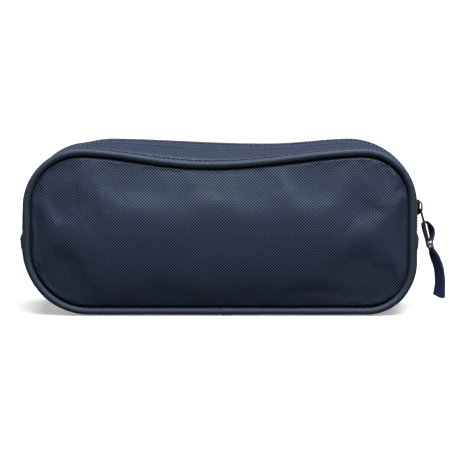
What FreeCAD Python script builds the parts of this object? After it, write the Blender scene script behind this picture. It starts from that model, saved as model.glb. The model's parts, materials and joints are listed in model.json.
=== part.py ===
import FreeCAD, Part
import os
from math import atan2, radians

import Sketcher

# A soft zipped pencil case that stands on its flat bottom. Millimetres, +Z up, +X along the
# length towards the parked zip slider, front face towards -Y, origin in the middle of the
# underside. The upper third of the front and of the rear are bodies of their own, so the
# mouth can open; the fold lies just above the parked slider.
os.makedirs("parts", exist_ok=True)
doc = FreeCAD.newDocument("pencil_case")

DRIVING = {
    "body_length": 223.0, "body_height": 95.3, "gusset_depth": 58.0,
    "top_corner": 32.0, "bottom_corner": 35.0, "dip_depth": 7.0,
    "side_bulge": 2.0, "top_bulge": 3.0, "crest_corner": 39.3, "crest_dip": 3.3,
    "gusset_wall": 1.0, "seam_drop": 14.5, "fold_rise": 6.8, "fold_gap": 0.3,
    "pipe_radius": 2.0, "pipe_inset": 3.0, "pipe_joint_gap": 0.3, "cord_radius": 1.2,
    "seam_clearance": 0.2, "panel_wall": 1.6, "panel_shoulder": 4.5, "panel_margin": 14.0,
    "shoulder_depth": 3.2, "panel_crown": 5.5,
    "bend_inset_share": 0.8, "flat_inset_share": 0.4, "bend_depth_share": 0.6,
    "lining_wall": 0.5, "binding_wall": 1.2,
    "zip_gap": 1.0, "coil_width": 2.3, "coil_proud": 0.6,
    "tape_wall": 0.5,
    "tab_wall": 0.6, "tab_height": 7.0, "tab_width": 14.0,
    "slider_clearance": 0.3, "slider_curve_clearance": 0.7, "slider_wall": 0.9,
    "slider_length": 9.0, "post_length": 2.0,
    "bridge_width": 2.2, "bridge_wall": 0.8, "bridge_hole": 4.8, "bridge_leg": 1.2,
    "pivot_drop": 1.6, "pull_lean": 15.0,
    "pull_wall": 0.8, "pull_play": 0.2, "pull_eye_length": 5.3, "pull_eye_width": 3.4,
    "pull_web": 0.8, "pull_slot": 1.8, "pull_rim": 1.2, "pull_length": 23.0,
    "ribbon_width": 8.0, "ribbon_wall": 0.6, "ribbon_play": 0.2, "ribbon_length": 50.0,
    "tongue_width": 6.0, "clip_wall": 0.6, "clip_height": 3.7, "clip_inset": 2.6,
}

FITS = {
    # two outlines, one along the seams and one along the gusset's bulging middle: each has
    # four round corners, and a shallow concave arc along the top
    "seam_half": "=dims.body_length / 2",
    "seam_radius": "=dims.top_corner",
    "seam_corner_x": "=seam_half - seam_radius",
    "seam_corner_z": "=dims.body_height - seam_radius",
    "seam_dip_radius": "=(dims.dip_depth ^ 2 + seam_corner_x ^ 2) / (2 * dims.dip_depth) - seam_radius",
    "seam_dip_z": "=dims.body_height - dims.dip_depth + seam_dip_radius",
    "crest_half": "=seam_half + dims.side_bulge",
    "crest_radius": "=dims.crest_corner",
    "crest_corner_x": "=crest_half - crest_radius",
    "crest_corner_z": "=dims.body_height + dims.top_bulge - crest_radius",
    "crest_dip_radius": "=(dims.crest_dip ^ 2 + crest_corner_x ^ 2) / (2 * dims.crest_dip) - crest_radius",
    "crest_dip_z": "=dims.body_height + dims.top_bulge - dims.crest_dip + crest_dip_radius",
    "seam_y": "=dims.gusset_depth / 2",
    "cross_seam_z": "=crest_corner_z - dims.seam_drop",
    "fold_z": "=crest_corner_z + dims.fold_rise",
    "lower_top": "=fold_z - dims.fold_gap / 2",
    "upper_bottom": "=fold_z + dims.fold_gap / 2",
    # distances inwards from the outline
    "skin": "0.0",
    "gusset_inside": "=dims.gusset_wall",
    "gusset_lining_inside": "=gusset_inside + dims.lining_wall",
    "tape_outside": "=gusset_inside - dims.tape_wall",
    "coil_outside": "=-dims.coil_proud",
    "pipe_line": "=dims.pipe_inset",
    "panel_edge": "=dims.pipe_inset + dims.pipe_radius + dims.seam_clearance",
    "panel_edge_inside": "=panel_edge + dims.panel_wall",
    "panel_bend": "=panel_edge + dims.panel_shoulder",
    "panel_bend_inside": "=panel_bend + dims.panel_wall * dims.bend_inset_share",
    "panel_flat": "=panel_edge + dims.panel_margin",
    "panel_flat_inside": "=panel_flat + dims.panel_wall * dims.flat_inset_share",
    "lining_edge": "=panel_edge_inside + dims.seam_clearance",
    "lining_edge_inside": "=lining_edge + dims.lining_wall",
    "lining_bend": "=panel_bend_inside + dims.seam_clearance",
    "lining_bend_inside": "=lining_bend + dims.lining_wall",
    "lining_flat": "=panel_flat_inside + dims.seam_clearance",
    "lining_flat_inside": "=lining_flat + dims.lining_wall",
    # distances from the middle plane, along Y
    "pipe_y": "=seam_y + dims.pipe_radius",
    "bend_y": "=seam_y + dims.shoulder_depth",
    "crown_y": "=seam_y + dims.panel_crown",
    "bend_inside_y": "=bend_y - dims.panel_wall * dims.bend_depth_share",
    "crown_inside_y": "=crown_y - dims.panel_wall",
    "lining_bend_y": "=bend_inside_y - dims.seam_clearance",
    "lining_crown_y": "=crown_inside_y - dims.seam_clearance",
    "lining_bend_inside_y": "=lining_bend_y - dims.lining_wall",
    "lining_crown_inside_y": "=lining_crown_y - dims.lining_wall",
    "binding_y": "=seam_y - dims.binding_wall",
    "coil_near_y": "=dims.zip_gap / 2",
    "coil_far_y": "=coil_near_y + dims.coil_width",
    "flange_near_y": "=coil_far_y + dims.slider_clearance",
    "flange_far_y": "=flange_near_y + dims.slider_wall",
    "strip_edge_y": "=flange_far_y + dims.slider_clearance",
    # the slider, outwards from the outline along X
    "plate_low": "=dims.coil_proud + dims.slider_clearance",
    "plate_high": "=plate_low + dims.slider_wall",
    "flange_low": "=dims.slider_clearance - tape_outside",
    "inner_plate_high": "=-gusset_inside - dims.slider_curve_clearance",
    "inner_plate_low": "=inner_plate_high - dims.slider_wall",
    "bridge_gap": "=dims.pull_wall + 2 * dims.pull_play",
    "bridge_top": "=plate_high + bridge_gap + dims.bridge_wall",
    "pivot_x": "=crest_half + plate_high + bridge_gap / 2",
    "pivot_z": "=crest_corner_z - dims.pivot_drop",
    # the puller, hanging straight down from its pivot before it is leaned out
    "eye_low": "=-dims.pull_wall / 2 - dims.pull_eye_length",
    "slot_high": "=eye_low - dims.pull_web",
    "slot_low": "=slot_high - dims.pull_slot",
    "strand_near": "=dims.pull_wall / 2 + dims.ribbon_play",
    "strand_far": "=strand_near + dims.ribbon_wall",
    "ribbon_high": "=(slot_high + slot_low) / 2 + dims.ribbon_wall / 2",
    "ribbon_join": "=-dims.pull_length - dims.ribbon_play",
    "tongue_high": "=slot_low - dims.pull_web",
    "clip_z": "=-dims.pull_length + dims.clip_inset",
    "clip_inside_y": "=dims.ribbon_width / 2 + dims.ribbon_play",
    "pull_half_width": "=dims.ribbon_width / 2 + dims.ribbon_play + dims.pull_rim",
}


def make_sheet(name, cells):
    """A spreadsheet with one named cell for each size."""
    sheet = doc.addObject("Spreadsheet::Sheet", name)
    for row, (alias, content) in enumerate(cells.items(), 1):
        sheet.set(f"A{row}", alias)
        sheet.set(f"B{row}", str(content))
        sheet.setAlias(f"B{row}", alias)
    doc.recompute()
    return sheet


dims = make_sheet("dims", DRIVING)
fits = make_sheet("fits", FITS)
nodes = []


def keep(item, label):
    """Give a finished sub-part the name that its file takes."""
    item.Label = label
    nodes.append(item)
    return item


def bound(item, **expressions):
    """Bind properties to expressions; a double underscore stands for a dot."""
    for prop, expression in expressions.items():
        item.setExpression(prop.replace("__", "."), expression)
    return item


def plane_sketch(body, name, role, offset):
    """A sketch on one of the body's own origin planes, moved along the plane's normal."""
    plane = next(f for f in body.Origin.OriginFeatures if f.Role == role)
    sketch = body.newObject("Sketcher::SketchObject", name)
    sketch.AttachmentSupport = [(plane, "")]
    sketch.MapMode = "FlatFace"
    bound(sketch, AttachmentOffset__Base__z=offset)
    return sketch


def fix_size(sketch, expression, *constraint):
    """Add a dimension to a sketch and bind it."""
    index = sketch.addConstraint(Sketcher.Constraint(*constraint))
    sketch.setExpression(f"Constraints[{index}]", expression)


def add_outline(sketch, family, inset, joint_gap=0.0):
    """Draw the seams' outline or the crest's outline, moved inwards by a named distance.

    The loop starts at the middle of the bottom and runs up the right side, over the
    dipped top and down the left side. A joint gap leaves it open at the start.
    """
    vector = FreeCAD.Vector
    distance = getattr(fits, inset)
    source = f"fits.{inset}"
    side = getattr(fits, family + "_half") - distance
    top_x, top_z = getattr(fits, family + "_corner_x"), getattr(fits, family + "_corner_z")
    top_r = getattr(fits, family + "_radius") - distance
    dip_r = getattr(fits, family + "_dip_radius") + distance
    dip_z = getattr(fits, family + "_dip_z")
    low_r, low_z = dims.bottom_corner - distance, dims.bottom_corner
    low_x = side - low_r
    start_x = joint_gap / 2
    lean = atan2(dip_z - top_z, -top_x)
    right, up, left, down = (radians(angle) for angle in (0, 90, 180, 270))

    def arc(x, z, radius, start, end):
        circle = Part.Circle(vector(x, z, 0), vector(0, 0, 1), radius)
        return Part.ArcOfCircle(circle, start, end)

    def line(x1, z1, x2, z2):
        return Part.LineSegment(vector(x1, z1, 0), vector(x2, z2, 0))

    first = sketch.GeometryCount
    (bottom_right, corner_br, right_side, corner_tr, dip,
     corner_tl, left_side, corner_bl, bottom_left) = range(first, first + 9)
    sketch.addGeometry([
        line(start_x, distance, low_x, distance),
        arc(low_x, low_z, low_r, -up, right),
        line(side, low_z, side, top_z),
        arc(top_x, top_z, top_r, right, lean),
        arc(0, dip_z, dip_r, left - lean + left, lean + left),
        arc(-top_x, top_z, top_r, left - lean, left),
        line(-side, top_z, -side, low_z),
        arc(-low_x, low_z, low_r, left, down),
        line(-low_x, distance, -start_x, distance),
    ], False)
    for one, its_end, other, other_end in (
            (bottom_right, 2, corner_br, 1), (corner_br, 2, right_side, 1),
            (right_side, 2, corner_tr, 1), (corner_tr, 2, dip, 2), (dip, 1, corner_tl, 1),
            (corner_tl, 2, left_side, 1), (left_side, 2, corner_bl, 1),
            (corner_bl, 2, bottom_left, 1)):
        sketch.addConstraint(Sketcher.Constraint("Tangent", one, its_end, other, other_end))
    for name, edge in (("Horizontal", bottom_right), ("Horizontal", bottom_left),
                       ("Vertical", right_side), ("Vertical", left_side)):
        sketch.addConstraint(Sketcher.Constraint(name, edge))
    if joint_gap:
        fix_size(sketch, "dims.pipe_joint_gap / 2", "DistanceX", -1, 1, bottom_right, 1, start_x)
        sketch.addConstraint(Sketcher.Constraint("Symmetric", bottom_right, 1, bottom_left, 2, -2))
    else:
        sketch.addConstraint(Sketcher.Constraint("PointOnObject", bottom_right, 1, -2))
        sketch.addConstraint(Sketcher.Constraint("Coincident", bottom_left, 2, bottom_right, 1))
    for edge, radius, expression in (
            (corner_br, low_r, f"dims.bottom_corner - {source}"),
            (corner_bl, low_r, f"dims.bottom_corner - {source}"),
            (corner_tr, top_r, f"fits.{family}_radius - {source}"),
            (corner_tl, top_r, f"fits.{family}_radius - {source}"),
            (dip, dip_r, f"fits.{family}_dip_radius + {source}")):
        fix_size(sketch, expression, "Radius", edge, radius)
    fix_size(sketch, "dims.bottom_corner", "DistanceY", -1, 1, corner_br, 3, low_z)
    for corner in (corner_tr, corner_tl):
        fix_size(sketch, f"fits.{family}_corner_z", "DistanceY", -1, 1, corner, 3, top_z)
    fix_size(sketch, f"fits.{family}_half - {source}", "DistanceX", -1, 1, right_side, 1, side)
    fix_size(sketch, f"{source} - fits.{family}_half", "DistanceX", -1, 1, left_side, 1, -side)


def outline_sketch(body, name, side, away, family, *insets, joint_gap=0.0):
    """Outlines on a plane at a named distance from the middle; side -1 is the front."""
    sketch = plane_sketch(body, name, "XZ_Plane", f"{-side} * fits.{away}")
    for inset in insets:
        add_outline(sketch, family, inset, joint_gap)
    return sketch


def ring(name, side, family, outer, inner, near, far):
    """A band that follows an outline, between two insets and two distances from the middle."""
    body = doc.addObject("PartDesign::Body", name)
    sketch = outline_sketch(body, name + "_profile", side, near, family, outer, inner)
    pad = body.newObject("PartDesign::Pad", name + "_pad")
    pad.Profile = sketch
    pad.Reversed = side > 0
    bound(pad, Length=f"fits.{far} - fits.{near}")
    return body


def lofted_shell(name, outside, inside):
    """A ruled loft through outlines, hollowed by a second loft through smaller ones.

    Each section is a side, a distance from the middle, an outline and an inset.
    """
    body = doc.addObject("PartDesign::Body", name)
    for kind, sections in (("Additive", outside), ("Subtractive", inside)):
        sketches = [outline_sketch(body, f"{name}_{kind}_{number}", *section)
                    for number, section in enumerate(sections)]
        loft = body.newObject(f"PartDesign::{kind}Loft", f"{name}_{kind}")
        loft.Profile = sketches[0]
        loft.Sections = sketches[1:]
        loft.Ruled = True
    return body


def crowned_band(name, outer, inner, reach):
    """The whole depth of the gusset, bulging from the seams to its level middle."""
    def sections(inset):
        return [(-1, reach, "seam", inset), (-1, "strip_edge_y", "crest", inset),
                (1, "strip_edge_y", "crest", inset), (1, reach, "seam", inset)]
    return lofted_shell(name, sections(outer), sections(inner))


def pipe(name, side, *radii):
    """A round tube or rod along the piping's line, open at the middle of the bottom."""
    body = doc.addObject("PartDesign::Body", name)
    path = outline_sketch(body, name + "_path", side, "pipe_y", "seam", "pipe_line",
                          joint_gap=dims.pipe_joint_gap)
    section = plane_sketch(body, name + "_section", "YZ_Plane", "dims.pipe_joint_gap / 2")
    for radius in radii:
        edge = section.GeometryCount
        centre = FreeCAD.Vector(side * fits.pipe_y, fits.pipe_line, 0)
        circle = Part.Circle(centre, FreeCAD.Vector(0, 0, 1), getattr(dims, radius))
        section.addGeometry(circle, False)
        fix_size(section, f"dims.{radius}", "Radius", edge, getattr(dims, radius))
        fix_size(section, f"{side} * fits.pipe_y", "DistanceX", -1, 1, edge, 3, centre.x)
        fix_size(section, "fits.pipe_line", "DistanceY", -1, 1, edge, 3, centre.y)
    sweep = body.newObject("PartDesign::AdditivePipe", name + "_sweep")
    sweep.Profile = section
    sweep.Spine = (path, [f"Edge{i + 1}" for i in range(path.GeometryCount)])
    return body


def box(name, x, y, z):
    """A box between pairs of expressions."""
    item = doc.addObject("Part::Box", name)
    return bound(item, Length=f"({x[1]}) - ({x[0]})", Width=f"({y[1]}) - ({y[0]})",
                 Height=f"({z[1]}) - ({z[0]})", Placement__Base__x=x[0],
                 Placement__Base__y=y[0], Placement__Base__z=z[0])


def common(label, base, tool):
    """The part of one shape that lies inside another, as a sub-part."""
    item = doc.addObject("Part::Common", label)
    item.Base = base
    item.Tool = tool
    return keep(item, label)


def fuse(name, *shapes):
    item = doc.addObject("Part::MultiFuse", name)
    item.Shapes = list(shapes)
    return item


def cut(name, base, tool):
    item = doc.addObject("Part::Cut", name)
    item.Base = base
    item.Tool = tool
    return item


def zones():
    """Boxes that divide the case at the fold, and at the cross seams below the zip."""
    wide = ("-dims.body_length", "dims.body_length")
    deep = ("-dims.gusset_depth", "dims.gusset_depth")
    return (box("upper_zone", wide, deep, ("fits.upper_bottom", "2 * dims.body_height")),
            box("lower_zone", wide, deep, ("-dims.body_height", "fits.lower_top")),
            box("zip_end_zone", wide, deep, ("fits.cross_seam_z", "fits.lower_top")),
            box("gusset_zone", wide, deep, ("-dims.body_height", "fits.cross_seam_z")))


upper_zone, lower_zone, zip_end_zone, gusset_zone = zones()

# ---- the bottom and side gusset, its lining, and the tabs that cover the zip's ends
common("bottom_gusset", crowned_band("gusset_band", "skin", "gusset_inside", "seam_y"), gusset_zone)
common("gusset_lining", crowned_band("gusset_lining_band", "gusset_inside",
                                     "gusset_lining_inside", "binding_y"), gusset_zone)
for word, low, high in (("left", "-fits.crest_half - dims.tab_wall", "-fits.crest_half"),
                        ("right", "fits.crest_half", "fits.crest_half + dims.tab_wall")):
    keep(box(f"{word}_zip_end_tab", (low, high), ("-dims.tab_width / 2", "dims.tab_width / 2"),
             ("fits.cross_seam_z - dims.tab_height", "fits.cross_seam_z")), f"{word}_zip_end_tab")

# ---- the front and the rear: panel, lining, piping, seam binding, zip strip, tape and coil
PANEL_OUTSIDE = (("panel_edge", "seam_y"), ("panel_bend", "bend_y"), ("panel_flat", "crown_y"))
PANEL_INSIDE = (("panel_edge_inside", "seam_y"), ("panel_bend_inside", "bend_inside_y"),
                ("panel_flat_inside", "crown_inside_y"))
LINING_OUTSIDE = (("lining_edge", "seam_y"), ("lining_bend", "lining_bend_y"),
                  ("lining_flat", "lining_crown_y"))
LINING_INSIDE = (("lining_edge_inside", "seam_y"), ("lining_bend_inside", "lining_bend_inside_y"),
                 ("lining_flat_inside", "lining_crown_inside_y"))


def tray(name, side, outside, inside):
    """A shallow tray that bulges outwards from the seam: a panel, or its lining."""
    def sections(levels):
        return [(side, away, "seam", inset) for inset, away in levels]
    return lofted_shell(name, sections(outside), sections(inside))


def strip(name, side):
    """Half of the zip gusset, from the seam up to the edge beside the coils."""
    def sections(inset):
        return [(side, "seam_y", "seam", inset), (side, "strip_edge_y", "crest", inset)]
    return lofted_shell(name, sections("skin"), sections("gusset_inside"))


def sides(word, side):
    """Every layer of one side, each divided at the fold."""
    whole = {
        "panel": tray(f"{word}_panel_shell", side, PANEL_OUTSIDE, PANEL_INSIDE),
        "lining": tray(f"{word}_lining_shell", side, LINING_OUTSIDE, LINING_INSIDE),
        "piping": pipe(f"{word}_piping_tube", side, "pipe_radius", "cord_radius"),
        "piping_cord": pipe(f"{word}_piping_rod", side, "cord_radius"),
        "seam_binding": ring(f"{word}_binding_band", side, "seam", "gusset_inside",
                             "lining_edge_inside", "binding_y", "seam_y"),
    }
    for layer, shape in whole.items():
        common(f"{word}_{layer}_lower", shape, lower_zone)
        common(f"{word}_{layer}_upper", shape, upper_zone)
    zipped = {
        "zip_strip": strip(f"{word}_strip_band", side),
        "zip_tape": ring(f"{word}_tape_band", side, "crest", "tape_outside", "gusset_inside",
                         "coil_near_y", "strip_edge_y"),
        "zip_coil": ring(f"{word}_coil_band", side, "crest", "coil_outside", "tape_outside",
                         "coil_near_y", "coil_far_y"),
    }
    for layer, shape in zipped.items():
        common(f"{word}_{layer}_ends", shape, zip_end_zone)
        common(f"{word}_{layer}_upper", shape, upper_zone)


sides("front", -1)
sides("rear", 1)


# ---- the zip slider, parked where the right-hand side starts to curve into the top corner
def slider():
    """Outer plate, two flanges beside the coils, inner plate, and the post between them."""
    face = "fits.crest_half"
    length = ("fits.crest_corner_z - dims.slider_length / 2",
              "fits.crest_corner_z + dims.slider_length / 2")
    width = ("-fits.flange_far_y", "fits.flange_far_y")
    plate = box("slider_plate", (f"{face} + fits.plate_low", f"{face} + fits.plate_high"),
                width, length)
    flange_x = (f"{face} + fits.flange_low", f"{face} + fits.plate_low")
    front_flange = box("slider_front_flange", flange_x,
                       ("-fits.flange_far_y", "-fits.flange_near_y"), length)
    rear_flange = box("slider_rear_flange", flange_x,
                      ("fits.flange_near_y", "fits.flange_far_y"), length)
    inner = box("slider_inner_plate", (f"{face} + fits.inner_plate_low",
                                       f"{face} + fits.inner_plate_high"), width, length)
    post = box("slider_post", (f"{face} + fits.inner_plate_high", f"{face} + fits.plate_low"),
               ("-dims.zip_gap / 4", "dims.zip_gap / 4"),
               (f"{length[1]} - dims.post_length", length[1]))
    keep(fuse("slider_shape", plate, front_flange, rear_flange, inner, post), "slider_body")
    half_span = "(dims.bridge_hole / 2 + dims.bridge_leg)"
    bridge_y = ("-dims.bridge_width / 2", "dims.bridge_width / 2")
    arch = box("bridge_block", (f"{face} + fits.plate_high", f"{face} + fits.bridge_top"),
               bridge_y, (f"fits.crest_corner_z - {half_span}", f"fits.crest_corner_z + {half_span}"))
    hole = box("bridge_hole_block",
               (f"{face} + fits.plate_high", f"{face} + fits.plate_high + fits.bridge_gap"),
               bridge_y, ("fits.crest_corner_z - dims.bridge_hole / 2",
                          "fits.crest_corner_z + dims.bridge_hole / 2"))
    keep(cut("bridge_shape", arch, hole), "slider_bridge")


# ---- the puller, drawn hanging from its pivot and then leaned outwards about it
def leaned(item):
    """Turn a shape drawn about the pivot outwards, and move it to the pivot."""
    item.Placement = FreeCAD.Placement(FreeCAD.Vector(), FreeCAD.Rotation(
        FreeCAD.Vector(0, -1, 0), dims.pull_lean))
    return bound(item, Placement__Base__x="fits.pivot_x", Placement__Base__z="fits.pivot_z",
                 Placement__Rotation__Angle="dims.pull_lean")


def puller():
    """The metal tab on the bridge, the ribbon through its slot, and the clip that closes it."""
    half_wall = "dims.pull_wall / 2"
    plate_x = (f"-{half_wall}", half_wall)
    head = box("pull_head", plate_x, ("-fits.pull_half_width", "fits.pull_half_width"),
               ("fits.tongue_high", half_wall))
    tongue = box("pull_tongue", plate_x, ("-dims.tongue_width / 2", "dims.tongue_width / 2"),
                 ("-dims.pull_length", "fits.tongue_high"))
    eye = box("pull_eye", plate_x, ("-dims.pull_eye_width / 2", "dims.pull_eye_width / 2"),
              ("fits.eye_low", f"-{half_wall}"))
    slot = box("pull_slot", plate_x, ("-fits.clip_inside_y", "fits.clip_inside_y"),
               ("fits.slot_low", "fits.slot_high"))
    keep(leaned(cut("pull_shape", fuse("pull_plate", head, tongue),
                    fuse("pull_holes", eye, slot))), "pull_tab")

    across = ("-dims.ribbon_width / 2", "dims.ribbon_width / 2")
    strands = ("-fits.strand_far", "fits.strand_far")
    loop = box("ribbon_block", strands, across, ("fits.ribbon_join - dims.ribbon_wall",
                                                 "fits.ribbon_high"))
    window = box("ribbon_window", ("-fits.strand_near", "fits.strand_near"), across,
                 ("fits.ribbon_join", "fits.ribbon_high - dims.ribbon_wall"))
    tail = box("ribbon_tail", ("-dims.ribbon_wall", "dims.ribbon_wall"), across,
               ("-dims.ribbon_length", "fits.ribbon_join - dims.ribbon_wall"))
    keep(leaned(cut("ribbon_shape", fuse("ribbon_pieces", loop, tail), window)), "pull_ribbon")

    clip_z = ("fits.clip_z - dims.clip_height / 2", "fits.clip_z + dims.clip_height / 2")
    block = box("clip_block", ("-fits.strand_far - dims.clip_wall",
                               "fits.strand_far + dims.clip_wall"),
                ("-fits.clip_inside_y - dims.clip_wall", "fits.clip_inside_y + dims.clip_wall"),
                clip_z)
    opening = box("clip_opening", strands, ("-fits.clip_inside_y", "fits.clip_inside_y"), clip_z)
    keep(leaned(cut("clip_shape", block, opening)), "ribbon_clip")


slider()
puller()
doc.recompute()

for item in doc.Objects:
    if "Invalid" in item.State or "Error" in item.State:
        raise RuntimeError(f"{item.Name} did not build: {item.State}")
for item in nodes:
    if item.Shape.isNull() or not item.Shape.isValid() or item.Shape.Volume <= 0:
        raise RuntimeError(f"{item.Label} has no valid solid")
for item in nodes:
    item.Shape.exportStep(f"parts/{item.Label}.step")
print(len(nodes), "sub-parts")
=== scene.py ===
import json
from math import pi

import bpy
import numpy as np
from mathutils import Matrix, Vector


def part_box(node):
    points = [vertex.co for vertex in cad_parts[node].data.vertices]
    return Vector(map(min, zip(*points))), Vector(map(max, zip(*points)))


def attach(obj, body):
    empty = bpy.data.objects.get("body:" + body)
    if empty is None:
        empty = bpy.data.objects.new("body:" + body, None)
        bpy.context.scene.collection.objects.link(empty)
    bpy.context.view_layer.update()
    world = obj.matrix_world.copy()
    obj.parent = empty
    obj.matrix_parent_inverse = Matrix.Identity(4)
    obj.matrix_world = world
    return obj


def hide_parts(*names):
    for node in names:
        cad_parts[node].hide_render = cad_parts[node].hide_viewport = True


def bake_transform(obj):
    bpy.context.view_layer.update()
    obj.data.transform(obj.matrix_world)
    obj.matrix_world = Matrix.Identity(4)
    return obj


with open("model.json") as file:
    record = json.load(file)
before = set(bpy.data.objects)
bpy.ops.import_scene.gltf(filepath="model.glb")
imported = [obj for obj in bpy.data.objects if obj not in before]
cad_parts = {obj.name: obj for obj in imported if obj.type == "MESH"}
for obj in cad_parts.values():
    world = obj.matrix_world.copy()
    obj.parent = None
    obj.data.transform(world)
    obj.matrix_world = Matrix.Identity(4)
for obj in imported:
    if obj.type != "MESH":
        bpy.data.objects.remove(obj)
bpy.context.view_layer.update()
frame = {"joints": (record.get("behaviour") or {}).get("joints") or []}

bl_info = {
    "name": "Zipped Pencil Case",
    "version": (1, 0, 0),
    "blender": (4, 5, 0),
    "location": "3D View > Sidebar > Pencil Case",
    "description": "Builds the visible pieces of a soft zipped pencil case round its solid frame",
    "category": "Add Mesh",
}

MM = 0.001
SIDES = (("front", -1), ("rear", 1))
SHELL_FABRIC, LINING_FABRIC = "shell_fabric", "lining"
SPECULAR_TINT = (0.72, 0.9, 1.0, 1.0)       # dyed polyester's highlights look a little blue

# ---- places taken from the frame, in metres
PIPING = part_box("front_piping_upper")
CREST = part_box("bottom_gusset")
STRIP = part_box("front_zip_strip_upper")
PIPE_TO_SEAM = 1.0 * MM
SEAM_HALF = PIPING[1][0] + PIPE_TO_SEAM
SEAM_HEIGHT = PIPING[1][2] + PIPE_TO_SEAM
CREST_HALF = CREST[1][0] - 0.6 * MM         # the cloth is a little slack at the ends
CREST_HEIGHT = STRIP[1][2]
CROSS_SEAM = CREST[1][2]
SEAM_Y = CREST[1][1]
PIPE_Y = -(PIPING[0][1] + PIPING[1][1]) / 2
STRIP_EDGE_Y = -STRIP[1][1]
CROSS_STITCH = CROSS_SEAM - 2.0 * MM
# rows of topstitching on the zip strips: beside the folded edge, and at its hem's end
TOP_ROWS = (STRIP_EDGE_Y + 1.9 * MM, STRIP_EDGE_Y + 8.5 * MM)
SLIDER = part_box("slider_body")
SLIDER_Z = (SLIDER[0][2] + SLIDER[1][2]) / 2
CENTRE = np.array([0.0, 0.0, CREST_HEIGHT / 2])
X_AXIS, Y_AXIS, Z_AXIS = np.eye(3)

# ---- small sizes that several pieces share
SEAM_BAND = 4.0 * MM            # beside a seam, where the cloth tucks in and needs a finer grid
FOLD_ROUNDING = 0.35 * MM       # of a folded edge of shell cloth
LINING_WALL = 0.4 * MM
FILLER_RADIUS = 1.2 * MM        # of the cord in the piping


def unit(vectors):
    """Vectors divided by their lengths."""
    return vectors / np.linalg.norm(vectors, axis=-1, keepdims=True)


def bell(distance, width):
    """A smooth bump: e to minus the square of distance over width."""
    return np.exp(-(distance / width) ** 2)


def soft_step(distance, width):
    """Rises smoothly from 0 to 1 where the distance passes zero, over a few widths."""
    return 1 / (1 + np.exp(-distance / width))


def levelling(distance, width):
    """Rises from 0 towards 1, steeply at first: one minus e to minus distance over width."""
    return 1 - np.exp(-distance / width)


def superellipse(angle, cosine_power, sine_power=None):
    """A rounded rectangle: cosine and sine, each to a power below one with its sign kept."""
    u, v = np.cos(angle), np.sin(angle)
    return (np.sign(u) * np.abs(u) ** cosine_power,
            np.sign(v) * np.abs(v) ** (sine_power or cosine_power))


def linear(hex_colour):
    """An sRGB hex colour as linear red, green, blue."""
    parts = np.array([int(hex_colour[i:i + 2], 16) for i in (1, 3, 5)]) / 255
    return tuple(np.where(parts <= 0.04045, parts / 12.92, ((parts + 0.055) / 1.055) ** 2.4))


# ------------------------------------------------------------------ sizes and colours
def length_property(name, millimetres, description):
    return bpy.props.FloatProperty(name=name, description=description,
                                   default=millimetres * MM, unit="LENGTH", precision=4)


def colour_property(name, hex_colour, description):
    return bpy.props.FloatVectorProperty(name=name, description=description, size=3,
                                         subtype="COLOR", min=0, max=1,
                                         default=linear(hex_colour))


class PencilCaseSizes(bpy.types.PropertyGroup):
    """Sizes of the sewn and moulded details."""
    fabric_wall: length_property("Fabric Wall", 1.0, "Thickness of the shell fabric")
    panel_crown: length_property("Panel Crown", 2.2, "How far a panel bulges beyond its seam")
    panel_belly: length_property("Panel Belly", 5.4, "Further bulge of a panel's middle")
    panel_edge: length_property("Panel Edge", 5.3, "Inset of a panel's seam from the outline")
    piping_radius: length_property("Piping Radius", 2.0, "Radius of the covered piping")
    piping_inset: length_property("Piping Inset", 2.6, "Inset of the piping from the outline")
    piping_rib: length_property("Piping Rib", 1.7, "Spacing of the ribs along the piping")
    thread: length_property("Thread", 0.84, "Spacing of the shell fabric's threads")
    tooth_pitch: length_property("Tooth Pitch", 1.7, "Spacing of the zip coil's loops")
    tooth_wire: length_property("Tooth Wire", 0.36, "Radius of the coil's monofilament")
    stitch: length_property("Stitch", 2.1, "Length of one stitch")
    stitch_pitch: length_property("Stitch Pitch", 2.6, "Spacing of the stitches")
    stitch_thread: length_property("Stitch Thread", 0.32, "Radius of the sewing thread")


class PencilCaseColours(bpy.types.PropertyGroup):
    """Colours of the fabrics and the metals."""
    shell: colour_property("Shell", "#1E263D", "Navy woven polyester of the shell")
    shell_gap: colour_property("Shell Gaps", "#080B14", "Shade between the shell's threads")
    piping: colour_property("Piping", "#303B52", "Bias-cut cover of the piping")
    lining: colour_property("Lining", "#20242F", "Plain woven lining")
    binding: colour_property("Binding", "#1B1F2B", "Tape over the inner seams")
    zip_tape: colour_property("Zip Tape", "#20284A", "Woven tape of the zip")
    coil: colour_property("Coil", "#2C3654", "Dyed monofilament of the coil")
    thread: colour_property("Sewing Thread", "#3A4664", "Bonded sewing thread")
    ribbon: colour_property("Ribbon", "#16265E", "Grosgrain of the pull ribbon")
    slider: colour_property("Slider", "#25232A", "Gunmetal of the slider")
    tab: colour_property("Pull Tab", "#A18A5E", "Antique brass of the pull tab")
    clip: colour_property("Clip", "#C9CACC", "Bright nickel of the ribbon's clip")


def sizes():
    return bpy.context.scene.pencil_case_sizes


def colours():
    return bpy.context.scene.pencil_case_colours


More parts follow.
